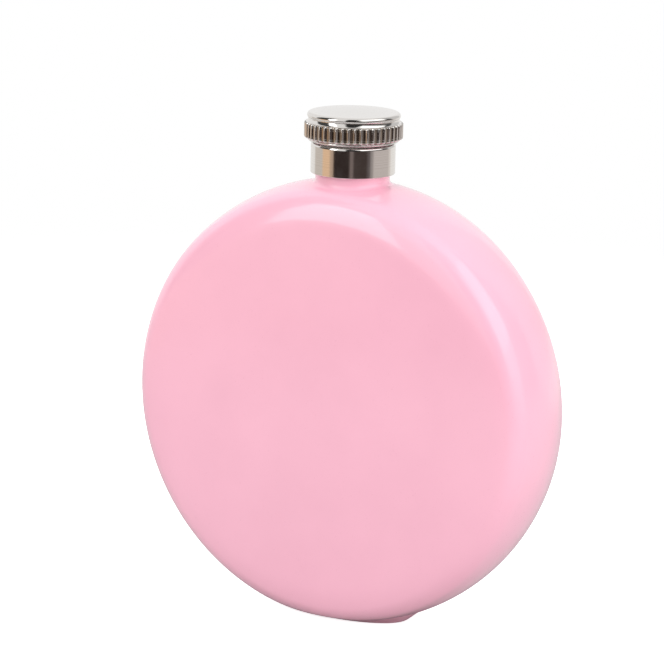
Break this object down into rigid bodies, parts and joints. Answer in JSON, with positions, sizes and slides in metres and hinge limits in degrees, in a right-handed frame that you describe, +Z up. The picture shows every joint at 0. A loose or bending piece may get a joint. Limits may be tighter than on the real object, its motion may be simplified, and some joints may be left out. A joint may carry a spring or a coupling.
{
  "type": "round hip flask",
  "caption": "Round painted steel hip flask on a low foot, with a polished neck collar and a coin-edge screw cap that turns and lifts off.",
  "frame": {"origin": "middle of the foot's underside, on the surface the flask stands on", "axes": "+Z up along the neck, front face towards -Y, +X to the right of the front face"},
  "size_m": [0.1, 0.0282, 0.114],
  "materials": {
    "body_paint": "high-gloss pale pink enamel over steel",
    "polished_steel": "mirror polished with fine turning lines",
    "turned_steel": "fine turned",
    "white_plastic": "moulded, satin",
    "silicone": "milky silicone, matt"
  },
  "bodies": {
    "flask": {"front_shell": "body_paint", "back_shell": "body_paint", "base_foot": "body_paint", "neck_boss": "body_paint", "neck_tube": "turned_steel", "neck_collar": "polished_steel"},
    "seal": {"cap_seal": "silicone"},
    "cap": {"cap_shell": "polished_steel", "thread_insert": "white_plastic"}
  },
  "joints": [
    {"name": "cap_lift", "type": "slide", "parent": "flask", "child": "seal", "axis": [0, 0, 1], "range_m": [0, 0.006]},
    {"name": "cap_turn", "type": "hinge", "parent": "seal", "child": "cap", "pos_m": [0, 0, 0.11], "axis": [0, 0, 1], "range_deg": [0, 1080]}
  ],
  "couplings": [
    {"joint": "cap_lift", "follows": "cap_turn", "m_per_rad": 0.0003183}
  ]
}
